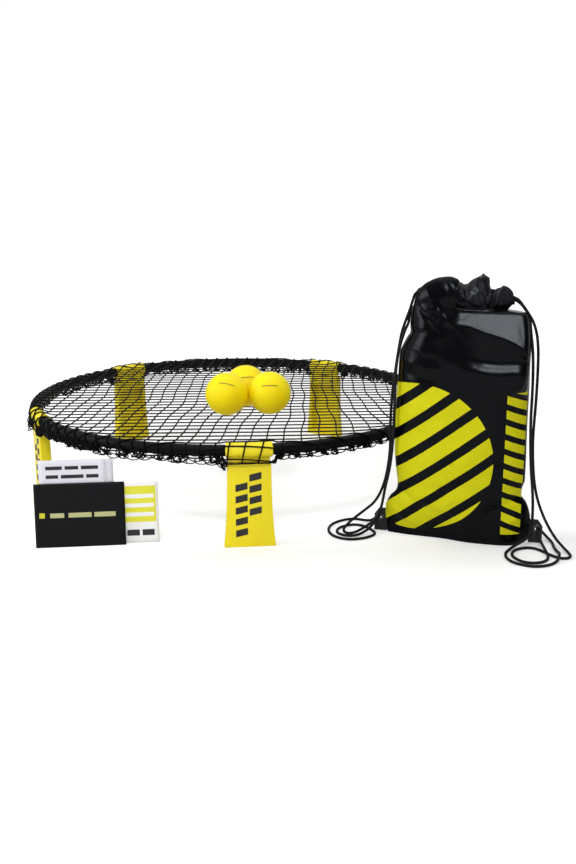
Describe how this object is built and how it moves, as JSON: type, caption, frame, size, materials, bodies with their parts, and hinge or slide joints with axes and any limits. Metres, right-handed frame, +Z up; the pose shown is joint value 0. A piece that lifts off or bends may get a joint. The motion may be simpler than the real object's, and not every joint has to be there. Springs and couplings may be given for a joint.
{
  "type": "roundnet set",
  "caption": "Lawn game set: round net on a ring of curved tubes with folding legs, inflated balls resting on it, a standing drawstring bag, and a booklet, card and sticker.",
  "frame": {"origin": "on the ground, below the middle of the box around everything but the drawstrings", "axes": "+X to the right of the set seen from the front, along its longest side; +Z up; the front leg and the cards face -Y"},
  "size_m": [1.0489, 1.0777, 0.5079],
  "materials": {
    "rim_tube": "black moulded tube, satin",
    "leg_plastic": "lemon yellow moulded plastic, soft gloss",
    "pin_steel": "plain steel hinge pin",
    "net_cord": "black knotted nylon net cord",
    "ball_skin": "yellow inflatable ball, matt pebbled skin",
    "valve_rubber": "soft rubber needle valve",
    "bag_nylon": "black thin nylon with a soft sheen, printed on its front",
    "bag_webbing": "black woven corner patch",
    "eyelet_metal": "dark nickel eyelet",
    "drawstring_cord": "black braided polyester cord",
    "booklet_paper": "coated white paper",
    "sticker_paper": "glossy white sticker paper",
    "folder_card": "near-black printed card"
  },
  "bodies": {
    "ring": {"rim_arc_1": "rim_tube", "leg_collar_1": "leg_plastic", "hinge_pin_1": "pin_steel", "rim_arc_2": "rim_tube", "leg_collar_2": "leg_plastic", "hinge_pin_2": "pin_steel", "rim_arc_3": "rim_tube", "leg_collar_3": "leg_plastic", "hinge_pin_3": "pin_steel", "rim_arc_4": "rim_tube", "leg_collar_4": "leg_plastic", "hinge_pin_4": "pin_steel", "rim_arc_5": "rim_tube", "leg_collar_5": "leg_plastic", "hinge_pin_5": "pin_steel", "net_bed": "net_cord", "net_edge": "net_cord"},
    "leg_1": {"leg_1": "leg_plastic"},
    "leg_2": {"leg_2": "leg_plastic"},
    "leg_3": {"leg_3": "leg_plastic"},
    "leg_4": {"leg_4": "leg_plastic"},
    "leg_5": {"leg_5": "leg_plastic"},
    "ball_1": {"ball_1": "ball_skin", "ball_valve_1": "valve_rubber"},
    "ball_2": {"ball_2": "ball_skin", "ball_valve_2": "valve_rubber"},
    "ball_3": {"ball_3": "ball_skin", "ball_valve_3": "valve_rubber"},
    "bag": {"bag_body": "bag_nylon", "bag_mouth": "bag_nylon", "corner_tab_left": "bag_webbing", "corner_tab_right": "bag_webbing", "eyelet_left": "eyelet_metal", "eyelet_right": "eyelet_metal", "drawstring_left": "drawstring_cord", "drawstring_right": "drawstring_cord"},
    "booklet": {"rule_booklet": "booklet_paper"},
    "sticker": {"sticker_sheet": "sticker_paper"},
    "card": {"folder_card": "folder_card"}
  },
  "joints": [
    {"name": "leg_1_fold", "type": "hinge", "parent": "ring", "child": "leg_1", "pos_m": [-0.046, -0.4162, 0.156], "axis": [1, 0, 0], "range_deg": [0, 90]},
    {"name": "leg_2_fold", "type": "hinge", "parent": "ring", "child": "leg_2", "pos_m": [0.37246, -0.11217, 0.156], "axis": [0.309, 0.9511, 0], "range_deg": [0, 90]},
    {"name": "leg_3_fold", "type": "hinge", "parent": "ring", "child": "leg_3", "pos_m": [0.21262, 0.37977, 0.156], "axis": [-0.809, 0.5878, 0], "range_deg": [0, 90]},
    {"name": "leg_4_fold", "type": "hinge", "parent": "ring", "child": "leg_4", "pos_m": [-0.30463, 0.37977, 0.156], "axis": [-0.809, -0.5878, 0], "range_deg": [0, 90]},
    {"name": "leg_5_fold", "type": "hinge", "parent": "ring", "child": "leg_5", "pos_m": [-0.46447, -0.11217, 0.156], "axis": [0.309, -0.9511, 0], "range_deg": [0, 90]},
    {"name": "ball_1_lift", "type": "slide", "parent": "ring", "child": "ball_1", "axis": [0, 0, 1], "range_m": [0, 0.3]},
    {"name": "ball_2_lift", "type": "slide", "parent": "ring", "child": "ball_2", "axis": [0, 0, 1], "range_m": [0, 0.3]},
    {"name": "ball_3_lift", "type": "slide", "parent": "ring", "child": "ball_3", "axis": [0, 0, 1], "range_m": [0, 0.3]},
    {"name": "bag_lift", "type": "slide", "parent": "ring", "child": "bag", "axis": [0, 0, 1], "range_m": [0, 0.6]},
    {"name": "booklet_slide", "type": "slide", "parent": "ring", "child": "booklet", "axis": [-1, 0, 0], "range_m": [0, 0.2]},
    {"name": "sticker_slide", "type": "slide", "parent": "ring", "child": "sticker", "axis": [1, 0, 0], "range_m": [0, 0.2]},
    {"name": "card_slide", "type": "slide", "parent": "ring", "child": "card", "axis": [0, -1, 0], "range_m": [0, 0.3]}
  ]
}
